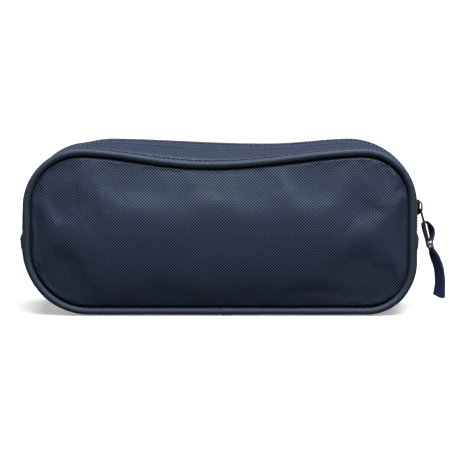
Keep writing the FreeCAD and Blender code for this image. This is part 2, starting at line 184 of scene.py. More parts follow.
# ------------------------------------------------------------------ outlines
# Two outlines in the X-Z plane: along the seams, and along the crest in the gusset's middle.
# Each has its half length, height, corner radii (top left, top right, bottom left, bottom
# right), the depth of the top's dip, where the dip is lowest, and how full its sides are.
OUTLINES = {
    "seam": {"half": SEAM_HALF, "height": SEAM_HEIGHT,
             "corners": np.array([33.8, 30.5, 38.0, 28.5]) * MM,
             "dip": 7.2 * MM, "dip_x": -6.0 * MM, "fullness": 0.85},
    "crest": {"half": CREST_HALF, "height": CREST_HEIGHT - 0.9 * MM,
              "corners": np.array([52.0, CREST_HEIGHT / MM - SLIDER_Z / MM, 40.0, 31.0]) * MM,
              "dip": 2.8 * MM, "dip_x": 27.0 * MM, "fullness": 0.8},
}
STEPS = {"bottom_right": 44, "corner_br": 40, "right_low": 10, "right_high": 14,
         "corner_tr": 56, "top": 140, "corner_tl": 56, "left_high": 14, "left_low": 10,
         "corner_bl": 40, "bottom_left": 44}
LOOP = list(STEPS)
ZIP_RUN = ["right_high", "corner_tr", "top", "corner_tl", "left_high"]
GUSSET_RUN = ["left_low", "corner_bl", "bottom_left", "bottom_right", "corner_br", "right_low"]


def stretch(shape, name):
    """One stretch of an outline: a straight line, a quarter circle, or the dipped top.

    The top falls by the dip's depth times half of one plus a cosine, to the power of its
    fullness, from a level shoulder at each corner to the lowest place.
    """
    half, height = shape["half"], shape["height"]
    top_left, top_right, low_left, low_right = shape["corners"]
    share = np.linspace(0, 1, STEPS[name] + 1)

    def straight(start, end):
        return np.outer(1 - share, start) + np.outer(share, end)

    def quarter(x, z, radius, first):
        angle = first + share * pi / 2
        return np.stack([x + radius * np.cos(angle), z + radius * np.sin(angle)], -1)

    if name == "top":
        right, left = half - top_right, -half + top_left
        x = right + share * (left - right)
        low = shape["dip_x"]
        u = np.where(x > low, (x - low) / (right - low), (x - low) / (low - left))
        drop = (0.5 * (1 + np.cos(pi * u))) ** shape["fullness"]
        return np.stack([x, height - shape["dip"] * drop], -1)
    return {
        "bottom_right": lambda: straight((0, 0), (half - low_right, 0)),
        "corner_br": lambda: quarter(half - low_right, low_right, low_right, -pi / 2),
        "right_low": lambda: straight((half, low_right), (half, CROSS_SEAM)),
        "right_high": lambda: straight((half, CROSS_SEAM), (half, height - top_right)),
        "corner_tr": lambda: quarter(half - top_right, height - top_right, top_right, 0),
        "corner_tl": lambda: quarter(-half + top_left, height - top_left, top_left, pi / 2),
        "left_high": lambda: straight((-half, height - top_left), (-half, CROSS_SEAM)),
        "left_low": lambda: straight((-half, CROSS_SEAM), (-half, low_left)),
        "corner_bl": lambda: quarter(-half + low_left, low_left, low_left, pi),
        "bottom_left": lambda: straight((-half + low_left, 0), (0, 0)),
    }[name]()


def run(family, names=LOOP, inset=0.0):
    """Stretches joined into one line, moved inwards, with its outward normals."""
    parts = [stretch(OUTLINES[family], name) for name in names]
    line = np.vstack([parts[0]] + [part[1:] for part in parts[1:]])
    if names == LOOP:
        line = line[:-1]
        tangent = np.roll(line, -1, 0) - np.roll(line, 1, 0)
    else:
        tangent = np.gradient(line, axis=0)
    tangent = unit(tangent)
    outward = np.stack([tangent[:, 1], -tangent[:, 0]], -1)
    return line - inset * outward, outward


def evenly(line, outward, step, closed=False):
    """The same line with points at equal distances, about one step apart."""
    if closed:
        line, outward = np.vstack([line, line[:1]]), np.vstack([outward, outward[:1]])
    along = np.concatenate([[0], np.cumsum(np.linalg.norm(np.diff(line, axis=0), axis=1))])
    count = max(int(round(along[-1] / step)), 2)
    places = np.linspace(0, along[-1], count + 1)
    if closed:
        places = places[:-1]
    new_line = np.stack([np.interp(places, along, line[:, i]) for i in (0, 1)], -1)
    new_out = np.stack([np.interp(places, along, outward[:, i]) for i in (0, 1)], -1)
    return new_line, unit(new_out), places


def lift(line, y):
    """X-Z points as points in space at a given depth, which may differ from place to place."""
    y = np.broadcast_to(y, line.shape[:-1])
    return np.stack([line[..., 0], y, line[..., 1]], -1)


# ------------------------------------------------------------------ meshes
class Surface:
    """Collects grids of points and makes one mesh of them, with cloth lengths as its UV map."""

    def __init__(self):
        self.points, self.faces, self.uv, self.count = [], [], [], 0

    def add(self, grid, inside, wrap_along=False, wrap_across=False, caps=False):
        """Add a grid (along, across, xyz), or many of them, with faces turned from inside."""
        grid = np.asarray(grid, float)
        if grid.ndim == 3:
            grid = grid[None]
        copies, rows, columns = grid.shape[:3]
        inside = np.broadcast_to(inside, grid.shape)
        index = np.arange(copies * rows * columns).reshape(copies, rows, columns)
        along = self.measured(grid, 1)
        across = self.measured(grid, 2)
        if wrap_along:
            index = np.concatenate([index, index[:, :1]], 1)
        if wrap_across:
            index = np.concatenate([index, index[:, :, :1]], 2)
        along = self.stretched(along, index.shape, 1)
        across = self.stretched(across, index.shape, 2)

        def corners(values):
            return np.stack([values[:, :-1, :-1], values[:, 1:, :-1], values[:, 1:, 1:],
                             values[:, :-1, 1:]], -1).reshape(-1, 4)

        quads, u, v = corners(index), corners(along), corners(across)
        flat, middle = grid.reshape(-1, 3), inside.reshape(-1, 3)
        a, b, c, d = (flat[quads[:, i]] for i in range(4))
        normal = np.cross(c - a, d - b)
        flip = np.sum(normal * (a + b + c + d - 4 * middle[quads[:, 0]])) < 0
        if flip:
            quads, u, v = quads[:, ::-1], u[:, ::-1], v[:, ::-1]
        faces = (quads + self.count).tolist()
        uv = [np.stack([u, v], -1).reshape(-1, 2)]
        if caps:
            for row, turned in ((0, flip), (-1, not flip)):
                rings = index[:, row, :columns]
                rings = rings[:, ::-1] if turned else rings
                faces += (rings + self.count).tolist()
                uv.append(np.zeros((rings.size, 2)))
        self.points.append(flat)
        self.faces += faces
        self.uv += uv
        self.count += len(flat)
        return self

    @staticmethod
    def measured(grid, axis):
        """Distance along one axis of the grid, from the mean of its lines' steps."""
        step = np.linalg.norm(np.diff(grid, axis=axis), axis=-1)
        step = step.mean(axis=3 - axis, keepdims=True)
        start = np.zeros_like(np.take(step, [0], axis=axis))
        total = np.concatenate([start, np.cumsum(step, axis=axis)], axis)
        return np.broadcast_to(total, grid.shape[:3])

    @staticmethod
    def stretched(values, shape, axis):
        """Values for the corners of a wrapped grid: the last row goes on past the first."""
        if values.shape[axis] < shape[axis]:
            last = np.take(values, [-1], axis=axis)
            before = np.take(values, [-2], axis=axis)
            values = np.concatenate([values, 2 * last - before], axis)
        other = 3 - axis
        if values.shape[other] < shape[other]:
            values = np.concatenate([values, np.take(values, [-1], axis=other)], other)
        return values

    def make(self, name, material, smooth=True):
        mesh = bpy.data.meshes.new(name)
        mesh.from_pydata(np.vstack(self.points), [], self.faces)
        layer = mesh.uv_layers.new(name="cloth")
        layer.data.foreach_set("uv", np.vstack(self.uv).astype(np.float32).ravel())
        mesh.polygons.foreach_set("use_smooth", np.full(len(mesh.polygons), smooth))
        mesh.materials.append(material)
        mesh.validate()
        piece = bpy.data.objects.new(name, mesh)
        bpy.context.scene.collection.objects.link(piece)
        return piece


def thicken(piece, wall, rounding=0.0):
    """Give an open sheet its thickness inwards, and a rounded edge."""
    solid = piece.modifiers.new("wall", "SOLIDIFY")
    solid.thickness, solid.offset = wall, -1
    if rounding:
        bevel = piece.modifiers.new("rounded edge", "BEVEL")
        bevel.width, bevel.segments, bevel.limit_method = rounding, 2, "ANGLE"
        bevel.angle_limit = pi / 3
    return piece


def rod(points, side, up, radii, turns):
    """Rings round a line: each ring is a circle in the plane of side and up."""
    angle = np.linspace(0, 2 * pi, turns, endpoint=False)
    radii = np.broadcast_to(np.asarray(radii, float)[..., None, None], points.shape[:-1] + (1, 1))
    ring = (np.cos(angle)[:, None] * side[..., None, :] + np.sin(angle)[:, None] * up[..., None, :])
    return points[..., None, :] + radii * ring


def finish(piece, body, slot, *nodes):
    """Ride a piece on its body, and name its material slot and the nodes it stands for."""
    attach(piece, body)
    if nodes:
        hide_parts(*nodes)


def finish_side(piece, word, slot, *nodes):
    """Ride a piece of the front or rear on the case below the fold and on the flap above it.

    The nodes are given without the word for their side.
    """
    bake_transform(piece)
    if nodes:
        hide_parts(*(f"{word}_{name}" for name in nodes))


# ------------------------------------------------------------------ materials
def node(tree, kind, inputs=(), **settings):
    """Add a node: settings are its properties, inputs its sockets' values or links."""
    item = tree.nodes.new(kind)
    for name, value in settings.items():
        setattr(item, name, value)
    for key, value in dict(inputs).items():
        if isinstance(value, bpy.types.NodeSocket):
            tree.links.new(value, item.inputs[key])
        else:
            item.inputs[key].default_value = value
    return item


def procedural(build):
    """Give a material by its name, and build its node tree the first time it is asked for."""
    def give(name, *arguments, **settings):
        material = bpy.data.materials.get(name)
        if material is None:
            material = bpy.data.materials.new(name)
            material.use_nodes = True
            material.node_tree.nodes.clear()
            build(material.node_tree, *arguments, **settings)
        return material
    give.__doc__ = build.__doc__
    return give


def math(tree, operation, *values):
    return node(tree, "ShaderNodeMath", enumerate(values), operation=operation).outputs[0]


def finish_material(tree, colour, bump_height, bump_distance, roughness, **values):
    """The surface shader: linked colour, roughness and bump; everything else is a constant."""
    bump = node(tree, "ShaderNodeBump", {"Height": bump_height, "Strength": 1.0,
                                         "Distance": bump_distance})
    inputs = {"Base Color": colour, "Normal": bump.outputs[0], "Roughness": roughness}
    inputs.update({name.replace("_", " ").title().replace("Ior", "IOR"): value
                   for name, value in values.items()})
    shader = node(tree, "ShaderNodeBsdfPrincipled", inputs)
    node(tree, "ShaderNodeOutputMaterial", {"Surface": shader.outputs[0]})


def rgba(colour, share=1.0):
    """A colour with its alpha, made lighter or darker by a share."""
    return (*(c * share for c in colour[:3]), 1.0)


def mixed(tree, factor, one, other):
    mix = node(tree, "ShaderNodeMix", {0: factor, 6: one, 7: other}, data_type="RGBA")
    return mix.outputs[2]


@procedural
def woven(tree, colour, gap, pitch, relief, turn=0.0, roughness=0.5, contrast=1.0, tone=0.16):
    """Plain-woven cloth: two sets of threads that pass over and under each other.

    The height is the arch of whichever thread is on top: the absolute sine across that
    thread, lowered towards the places where it dives. The chooser is the product of the
    two sines, which changes sign from one crossing to the next.
    """
    where = node(tree, "ShaderNodeUVMap", uv_map="cloth").outputs[0]
    turned = node(tree, "ShaderNodeMapping", {0: where, 2: (0, 0, turn),
                                              3: (1 / pitch, 1 / pitch, 1.0)}).outputs[0]
    wander = node(tree, "ShaderNodeTexNoise", {"Vector": turned, "Scale": 0.11, "Detail": 2.0})
    shifted = node(tree, "ShaderNodeVectorMath", {0: turned, 1: wander.outputs["Color"]},
                   operation="ADD").outputs[0]
    split = node(tree, "ShaderNodeSeparateXYZ", {0: shifted}).outputs
    wave_u = math(tree, "SINE", math(tree, "MULTIPLY", split[0], pi))
    wave_v = math(tree, "SINE", math(tree, "MULTIPLY", split[1], pi))
    arch_u, arch_v = math(tree, "ABSOLUTE", wave_u), math(tree, "ABSOLUTE", wave_v)
    chooser = node(tree, "ShaderNodeMapRange", {0: math(tree, "MULTIPLY", wave_u, wave_v),
                                                1: -0.12, 2: 0.12},
                   interpolation_type="SMOOTHSTEP").outputs[0]

    def thread(across, along):
        return math(tree, "MULTIPLY", math(tree, "POWER", across, 0.7),
                    math(tree, "MULTIPLY_ADD", along, 0.55, 0.45))

    over, under = thread(arch_u, arch_v), thread(arch_v, math(tree, "POWER", arch_u, 1.6))
    height = node(tree, "ShaderNodeMix", {0: chooser, 2: under, 3: over}).outputs[0]
    fleck = node(tree, "ShaderNodeTexNoise", {"Vector": turned, "Scale": 0.9, "Detail": 1.0})
    patch = node(tree, "ShaderNodeTexNoise", {"Vector": turned, "Scale": 0.035, "Detail": 3.0})
    light = math(tree, "MULTIPLY_ADD", math(tree, "SUBTRACT", fleck.outputs["Fac"], 0.5), tone,
                 math(tree, "MULTIPLY_ADD", math(tree, "SUBTRACT", patch.outputs["Fac"], 0.5),
                      tone, 0.5))
    # painted highlight and painted shade: where a warp thread is on top it is painted 3.6 times
    # lighter, standing in for the glints on the warp floats; where a weft thread is on top it is
    # painted 0.08 times as light, standing in for shade. Contrast scales both, and the flecks and
    # patches in them are random tone
    warp, weft_painted_shade = (mixed(tree, light, rgba(colour, 0.75 * share ** contrast),
                        rgba(colour, 1.25 * share ** contrast)) for share in (3.6, 0.08))
    cloth = mixed(tree, chooser, weft_painted_shade, warp)
    # painted shade: where the height falls between the threads, the colour turns to the gap colour,
    # standing in for the shade in the weave's hollows
    shade = node(tree, "ShaderNodeMapRange", {0: height, 1: 0.12, 2: 0.72},
                 interpolation_type="SMOOTHSTEP").outputs[0]
    colour_out = mixed(tree, shade, rgba(gap), cloth)
    rough = math(tree, "MULTIPLY_ADD", chooser, -0.55 * contrast, roughness + 0.55 * contrast)
    finish_material(tree, colour_out, height, relief, rough, sheen_weight=0.04,
                    sheen_roughness=0.4, specular_ior_level=0.65, specular_tint=SPECULAR_TINT)


@procedural
def ribbed(tree, colour, pitch, relief, roughness=0.6):
    """Grosgrain: fine ribs across the ribbon, with a closer weave between them."""
    where = node(tree, "ShaderNodeUVMap", uv_map="cloth").outputs[0]
    split = node(tree, "ShaderNodeSeparateXYZ", {0: where}).outputs
    rib = math(tree, "ABSOLUTE", math(tree, "SINE", math(tree, "MULTIPLY", split[0], pi / pitch)))
    warp = math(tree, "ABSOLUTE", math(tree, "SINE",
                                       math(tree, "MULTIPLY", split[1], 1.6 * pi / pitch)))
    height = math(tree, "MULTIPLY_ADD", warp, 0.25, rib)
    # painted highlight and painted shade: the ribs' crests are painted paler than the ribbon's
    # colour, and the grooves between them 0.45 as light
    pale = tuple(c * 1.35 + 0.01 for c in colour)
    finish_material(tree, mixed(tree, rib, rgba(colour, 0.45), rgba(pale)), height, relief,
                    roughness, sheen_weight=0.3, sheen_roughness=0.4, specular_ior_level=0.45)


@procedural
def moulded(tree, colour, roughness):
    """Dyed nylon monofilament: smooth, slightly waxy, faintly uneven in tone."""
    where = node(tree, "ShaderNodeTexCoord").outputs["Object"]
    grain = node(tree, "ShaderNodeTexNoise", {"Vector": where, "Scale": 900.0, "Detail": 2.0})
    tone = mixed(tree, grain.outputs["Fac"], rgba(colour, 0.75), rgba(colour, 1.25))
    rough = math(tree, "MULTIPLY_ADD", grain.outputs["Fac"], 0.15, roughness)
    finish_material(tree, tone, grain.outputs["Fac"], 0.02 * MM, rough, ior=1.53)


@procedural
def metal(tree, colour, roughness, wear):
    """Die-cast or stamped metal with a plated finish: soft scratches and worn patches."""
    where = node(tree, "ShaderNodeTexCoord").outputs["Object"]
    stroke = node(tree, "ShaderNodeMapping", {0: where, 3: (900.0, 900.0, 120.0)}).outputs[0]
    scratch = node(tree, "ShaderNodeTexNoise", {"Vector": stroke, "Scale": 1.0, "Detail": 3.0})
    patch = node(tree, "ShaderNodeTexNoise", {"Vector": where, "Scale": 160.0, "Detail": 2.0})
    tone = mixed(tree, patch.outputs["Fac"], rgba(colour), rgba(wear))
    rough = math(tree, "MULTIPLY_ADD", scratch.outputs["Fac"], 0.22, roughness)
    finish_material(tree, tone, scratch.outputs["Fac"], 0.01 * MM, rough, metallic=1.0)


@procedural
def paper(tree, near, far):
    """Pale paper that glows more away from the middle, between two distances."""
    where = node(tree, "ShaderNodeTexCoord").outputs["Object"]
    grain = node(tree, "ShaderNodeTexNoise", {"Vector": where, "Scale": 300.0})
    away = node(tree, "ShaderNodeVectorMath", {0: where}, operation="LENGTH").outputs["Value"]
    glow = node(tree, "ShaderNodeMapRange", {0: away, 1: near, 2: far, 3: 0.35, 4: 1.1},
                interpolation_type="SMOOTHSTEP").outputs[0]
    finish_material(tree, rgba(linear("#FBFBFB")), grain.outputs["Fac"], 0.01 * MM, 0.9,
                    emission_color=(1.0, 1.0, 1.0, 1.0), emission_strength=glow)


def shell_cloth():
    """600-denier polyester in a plain weave. Its threads are about 0.4 mm apart; they are drawn
    twice as coarse, so that the checks show at arm's length."""
    c = colours()
    return woven("woven polyester, 600 denier", c.shell, c.shell_gap, sizes().thread, 0.04 * MM,
                 roughness=0.38)


def piping_cloth():
    """The same cloth cut on the bias, so its threads run round the cord at an angle."""
    c = colours()
    return woven("bias-cut woven polyester", c.piping, c.shell_gap, 0.6 * MM, 0.07 * MM,
                 turn=pi / 4, contrast=0.3)


def lining_cloth():
    """Thin 210-denier lining, closely woven and a little shiny."""
    c = colours()
    # painted shade: the binding tape's colour stands in for the shade between the lining's threads
    return woven("coated lining cloth, 210 denier", c.lining, c.binding, 0.6 * MM, 0.08 * MM,
                 roughness=0.5, contrast=0.2)


def tape_cloth(name, colour):
    """Zip and binding tapes: a fine twill, drawn as a close weave turned by a third."""
    # painted shade: the tape's own colour at 0.4 stands in for the shade between its threads
    return woven(name, colour, tuple(c * 0.4 for c in colour[:3]), 0.55 * MM, 0.08 * MM,
                 turn=pi / 3, roughness=0.65, contrast=0.4)


# ------------------------------------------------------------------ panels and linings
def unevenness(x, z, strength):
    """Slow waves in the cloth: sines in X and Z whose lengths don't share a factor."""
    return strength * (np.sin(x * 61 + 1.3) * np.sin(z * 97 + 0.4)
                       + 0.6 * np.sin(x * 143 + z * 88 + 2.1) + 0.4 * np.sin(x * 37 - z * 171))


def panel_grid(inset, columns, rows):
    """X-Z points over the whole panel, and each one's distance from the panel's edge.

    Columns crowd towards the ends, mostly as a sine does, and each runs from the lower edge to the
    upper one, so the grid has no pole and its rim follows the outline.
    """
    upper, _ = run("seam", ["corner_tr", "top", "corner_tl"], inset)
    lower, _ = run("seam", ["corner_bl", "bottom_left", "bottom_right", "corner_br"], inset)
    edge, _ = run("seam", LOOP, inset)
    half = upper[:, 0].max()
    u = np.linspace(-1, 1, columns)
    x = half * (0.75 * np.sin(pi / 2 * u) + 0.25 * u)
    high = np.interp(x, upper[::-1, 0], upper[::-1, 1])
    low = np.interp(x, lower[:, 0], lower[:, 1])
    share = 0.5 * (1 - np.cos(pi * np.linspace(0, 1, rows)))
    share = 0.55 * share + 0.45 * np.linspace(0, 1, rows)
    z = low[:, None] + (high - low)[:, None] * share
    points = np.stack([np.broadcast_to(x[:, None], z.shape), z], -1)
    flat = points.reshape(-1, 1, 2)
    start, step = edge[None], np.roll(edge, -1, 0)[None] - edge[None]
    reach = np.clip(np.sum((flat - start) * step, -1) / np.sum(step * step, -1), 0, 1)
    away = np.linalg.norm(flat - start - reach[..., None] * step, axis=-1).min(1)
    return points, away.reshape(z.shape)


def panel_depth(points, away):
    """How far a panel stands out from its seam.

    It rises steeply beside the seam as one minus an exponential, goes on slowly to the
    belly, and dips and puckers a little.
    """
    s = sizes()
    waves = unevenness(points[..., 0], points[..., 1], 0.16 * MM) * levelling(away, 9 * MM)
    return (s.panel_crown * levelling(away, 1.6 * MM) + s.panel_belly * levelling(away, 15 * MM)
            + waves)


def make_panel(word, side):
    s = sizes()
    columns, rows = 160, 70
    points, away = panel_grid(s.panel_edge, columns, rows)
    y = side * (SEAM_Y + 0.9 * MM + panel_depth(points, away))
    panel = Surface().add(lift(points, y), CENTRE).make(f"{word}_panel", shell_cloth())
    uv_from_places(panel)
    settle(panel, columns, rows)
    thicken(panel, s.fabric_wall)
    finish_side(panel, word, SHELL_FABRIC, "panel_lower", "panel_upper")


def settle(panel, columns, rows):
    """Let the panel's cloth settle: sewn down at its rim, slightly full, with air behind it.

    The cloth is a little too long for its frame, so it puckers at the corners while the
    pressure behind it holds its middle out. Each point moves two millimetres at most from
    the drawn surface.
    """
    index = np.arange(columns * rows).reshape(columns, rows)
    rim = np.concatenate([index[:2].ravel(), index[-2:].ravel(), index[:, :2].ravel(),
                          index[:, -2:].ravel()])
    panel.vertex_groups.new(name="sewn").add(np.unique(rim).tolist(), 1.0, "REPLACE")
    cloth = panel.modifiers.new("cloth", "CLOTH")
    settings = cloth.settings
    settings.quality, settings.mass = 6, 0.00012
    settings.tension_stiffness, settings.compression_stiffness = 12, 6
    settings.shear_stiffness, settings.bending_stiffness = 4, 0.03
    settings.tension_damping = settings.compression_damping = settings.shear_damping = 8
    settings.bending_damping, settings.air_damping = 0.6, 2.0
    settings.vertex_group_mass = "sewn"
    settings.shrink_min = -0.007
    settings.use_pressure, settings.uniform_pressure_force = True, 1.2
    cloth.collision_settings.use_collision = False
    cloth.point_cache.frame_start, cloth.point_cache.frame_end = 1, 24
    scene = bpy.context.scene
    for step in range(1, 25):
        scene.frame_set(step)
    settled = panel.evaluated_get(bpy.context.evaluated_depsgraph_get()).data
    drawn = np.zeros(len(panel.data.vertices) * 3, np.float32)
    moved = np.zeros_like(drawn)
    panel.data.vertices.foreach_get("co", drawn)
    settled.vertices.foreach_get("co", moved)
    step = (moved - drawn).reshape(-1, 3)
    reach = np.linalg.norm(step, axis=1, keepdims=True)
    limit = 2.0 * MM
    step *= limit * np.tanh(reach / limit) / np.maximum(reach, 1e-9)
    panel.modifiers.remove(cloth)
    panel.vertex_groups.clear()
    panel.data.vertices.foreach_set("co", (drawn.reshape(-1, 3) + step).ravel())
    panel.data.update()
    scene.frame_set(1)


def uv_from_places(piece):
    """Lay the cloth's threads straight up and along a panel: its UV map is X and Z."""
    mesh = piece.data
    places = np.zeros(len(mesh.vertices) * 3, np.float32)
    mesh.vertices.foreach_get("co", places)
    corner = np.zeros(len(mesh.loops), np.int32)
    mesh.loops.foreach_get("vertex_index", corner)
    flat = places.reshape(-1, 3)[corner][:, [0, 2]]
    mesh.uv_layers["cloth"].data.foreach_set("uv", flat.ravel())


def make_lining(word, side):
    s = sizes()
    points, away = panel_grid(s.panel_edge + 2.4 * MM, 120, 54)
    y = side * (SEAM_Y - 1.2 * MM + 0.85 * panel_depth(points, away))
    lining = Surface().add(lift(points, y), CENTRE).make(f"{word}_lining", lining_cloth())
    uv_from_places(lining)
    thicken(lining, LINING_WALL)
    finish_side(lining, word, LINING_FABRIC, "lining_lower", "lining_upper")


# ------------------------------------------------------------------ gusset and zip strips
def crowned(names, depths, flat_half=STRIP_EDGE_Y):
    """Grid across the gusset: the seams' outline at its edges, the crest's in its middle.

    The share of the crest grows with the distance from the seam, half as a straight line
    and half as a sine, and the cloth tucks in beside the seam by an exponential.
    """
    seam, seam_out = run("seam", names)
    crest, crest_out = run("crest", names)
    away = np.clip((SEAM_Y - np.abs(depths)) / (SEAM_Y - flat_half), 0, 1)
    share = (0.5 * away + 0.5 * np.sin(pi / 2 * away))[None, :, None]
    line = seam[:, None] * (1 - share) + crest[:, None] * share
    outward = seam_out[:, None] * (1 - share) + crest_out[:, None] * share
    outward = unit(outward)
    tuck = 3.2 * MM * np.exp(-(SEAM_Y - np.abs(depths)) / (1.8 * MM))[None, :, None]
    return line, outward, tuck


def make_strip(word, side):
    """Half of the zip gusset, in shell cloth.

    Each row of topstitching pulls it into a channel, which is a narrow bell across it, and
    the hem beside the zip stands a little higher, up to a soft step.
    """
    s = sizes()
    near_seam = np.linspace(SEAM_Y, SEAM_Y - SEAM_BAND, 8)[:-1]
    middle = np.linspace(SEAM_Y - SEAM_BAND, STRIP_EDGE_Y + SEAM_BAND, 34)[:-1]
    near_edge = np.linspace(STRIP_EDGE_Y + SEAM_BAND, STRIP_EDGE_Y, 14)
    depths = np.concatenate([near_seam, middle, near_edge])
    line, outward, tuck = crowned(ZIP_RUN, depths)
    channel = sum(0.55 * MM * bell(depths - row, 0.6 * MM) for row in TOP_ROWS)
    hem = 0.25 * MM * soft_step(STRIP_EDGE_Y + 3.6 * MM - depths, 0.35 * MM)
    raised = (hem - channel)[None, :, None]
    waves = unevenness(line[..., 0], depths[None] * 3 + line[..., 1], 0.12 * MM)[..., None]
    middle_only = np.sin(pi * np.linspace(0, 1, len(depths)))[None, :, None]
    line = line + outward * (raised - tuck + waves * middle_only)
    strip = Surface().add(lift(line, side * depths), CENTRE)
    strip = strip.make(f"{word}_zip_strip", shell_cloth())
    thicken(strip, s.fabric_wall, FOLD_ROUNDING)
    finish_side(strip, word, SHELL_FABRIC, "zip_strip_ends", "zip_strip_upper")


def make_gusset():
    """The gusset below the zip's ends; its own ends are folded over the zip gusset's."""
    s = sizes()
    outer = np.linspace(SEAM_Y, SEAM_Y - SEAM_BAND, 8)[:-1]
    inner = np.linspace(SEAM_Y - SEAM_BAND, 0, 14)
    half = np.concatenate([outer, inner])
    depths = np.concatenate([half, -half[-2::-1]])
    line, outward, tuck = crowned(GUSSET_RUN, depths)
    waves = unevenness(line[..., 0], depths[None] * 2, 0.14 * MM)[..., None]
    rest = np.clip(line[..., 1:] / (12 * MM), 0, 1)
    line = line + outward * ((0.25 * MM + waves) * rest - tuck)
    height = line[..., 1]
    folded = 0.7 * MM * soft_step(height - CROSS_SEAM + 7 * MM, 0.5 * MM)
    stitched = 0.35 * MM * bell(height - CROSS_STITCH, 0.5 * MM)
    line = line + outward * (folded - stitched)[..., None]
    line[..., 1] = np.maximum(line[..., 1], 0)
    gusset = Surface().add(lift(line, depths), CENTRE).make("gusset_cloth", shell_cloth())
    thicken(gusset, s.fabric_wall, FOLD_ROUNDING)
    finish(gusset, "case", SHELL_FABRIC, "bottom_gusset")
    depths = np.linspace(-SEAM_Y + 1.4 * MM, SEAM_Y - 1.4 * MM, 27)
    line, outward, _ = crowned(GUSSET_RUN, depths)
    line = line - outward * 1.5 * MM
    lining = Surface().add(lift(line, depths), CENTRE).make("gusset_lining_cloth", lining_cloth())
    thicken(lining, LINING_WALL)
    finish(lining, "case", LINING_FABRIC, "gusset_lining")


# ------------------------------------------------------------------ piping and seam binding
def ring_line(inset, y):
    """The seam's closed line at an inset and a depth, with its outward and depth directions."""
    line, outward = run("seam", LOOP, inset)
    out = lift(outward, 0.0)
    return lift(line, y), out, np.broadcast_to(Y_AXIS, out.shape)


def make_piping(word, side):
    """The covered cord all round a panel; the two ends of its cover meet at the bottom.

    Its radius grows and shrinks as a cosine along the line for the cover's ribs, sinks in a
    narrow bell at the joint, and is a little more over the lap beside it.
    """
    s = sizes()
    line, outward = run("seam", LOOP, s.piping_inset)
    line, outward, along = evenly(line, outward, 0.42 * MM, closed=True)
    total = along[-1] + along[1]
    ribs = 0.5 * (1 + np.cos(2 * pi * along * round(total / s.piping_rib) / total))
    uneven = 0.03 * np.sin(along * 140) + 0.02 * np.sin(along * 377 + 1)
    from_joint = np.minimum(along, total - along)
    joint = 0.16 * bell(from_joint, 0.5 * MM)
    lapped = 0.05 * soft_step(7 * MM - from_joint, 0.5 * MM)
    radius = s.piping_radius * (0.96 + 0.06 * ribs + uneven * 0.6 - joint + lapped)
    points, out = lift(line, side * PIPE_Y), lift(outward, 0.0)
    across = np.broadcast_to(Y_AXIS, out.shape)
    cover = Surface().add(rod(points, out, across, radius, 18), points[:, None], wrap_along=True,
                          wrap_across=True).make(f"{word}_piping", piping_cloth())
    finish_side(cover, word, "piping", "piping_lower", "piping_upper")
    points, out, across = ring_line(s.piping_inset, side * PIPE_Y)
    cord = Surface().add(rod(points, out, across, FILLER_RADIUS, 10), points[:, None],
                         wrap_along=True, wrap_across=True)
    cord = cord.make(f"{word}_piping_cord",
                     moulded("polyethylene filler cord", linear("#D8D6CC"), 0.5))
    finish_side(cord, word, "piping_cord", "piping_cord_lower", "piping_cord_upper")


def make_binding(word, side):
    """Tape folded over the seam allowance inside the case: a flat oval carried round it."""
    points, out, across = ring_line(4.2 * MM, side * (SEAM_Y - 0.9 * MM))
    u, v = superellipse(np.linspace(0, 2 * pi, 16, endpoint=False), 0.6, 0.8)
    grid = (points[:, None] + 3.0 * MM * u[None, :, None] * out[:, None]
            + 0.8 * MM * v[None, :, None] * across[:, None])
    tape = Surface().add(grid, points[:, None], wrap_along=True, wrap_across=True)
    tape = tape.make(f"{word}_seam_binding", tape_cloth("woven binding tape", colours().binding))
    finish_side(tape, word, "binding", "seam_binding_lower", "seam_binding_upper")


# ------------------------------------------------------------------ zip
def make_tape(word, side):
    """The zip's tape, from under the coil to under the strip's folded edge."""
    line, outward = run("crest", ZIP_RUN, 0.45 * MM)
    depths = np.linspace(0.3 * MM, STRIP_EDGE_Y + 0.2 * MM, 8)
    grid = np.repeat(line[:, None], len(depths), 1)
    tape = Surface().add(lift(grid, side * depths), CENTRE)
    tape = tape.make(f"{word}_zip_tape", tape_cloth("woven zip tape", colours().zip_tape))
    thicken(tape, 0.3 * MM)
    finish_side(tape, word, "zip_tape", "zip_tape_ends", "zip_tape_upper")


def make_coil(word, side):
    """One coil: a loop of wire at every pitch, from the tape over to the other coil's gaps.

    Each loop is a line of points across the zip, at a height above the crest and a small
    lean along it, with a round wire round it; the head is a little thicker.
    """
    s = sizes()
    line, outward = run("crest", ZIP_RUN)
    line, outward, along = evenly(line, outward, s.tooth_pitch / 2)
    keep = slice(2 if side < 0 else 3, -2, 2)
    line, outward = line[keep], outward[keep]
    ahead = np.stack([-outward[:, 1], outward[:, 0]], -1)
    across = np.array([3.1, 3.25, 2.7, 1.4, 0.1, -0.55, -0.6, -0.1]) * MM
    height = np.array([-0.45, 0.25, 0.8, 1.0, 0.92, 0.5, -0.05, -0.35]) * MM
    lean = np.array([-0.3, -0.25, -0.1, 0.0, 0.1, 0.15, 0.1, 0.0]) * MM
    thick = np.array([0.85, 0.95, 1.0, 1.0, 1.15, 1.45, 1.3, 0.9]) * s.tooth_wire
    place = (line[:, None] + height[None, :, None] * outward[:, None]
             + lean[None, :, None] * ahead[:, None])
    points = lift(place, side * across)
    along_zip = np.broadcast_to(lift(ahead, 0.0)[:, None], points.shape)
    up = unit(np.cross(along_zip, unit(np.gradient(points, axis=1))))
    grid = rod(points, along_zip, up, np.broadcast_to(thick, points.shape[:-1]), 6)
    coil = Surface().add(grid, points[:, :, None], wrap_across=True, caps=True)
    coil = coil.make(f"{word}_zip_coil", moulded("dyed nylon monofilament", colours().coil, 0.38))
    finish_side(coil, word, "zip_coil", "zip_coil_ends", "zip_coil_upper")


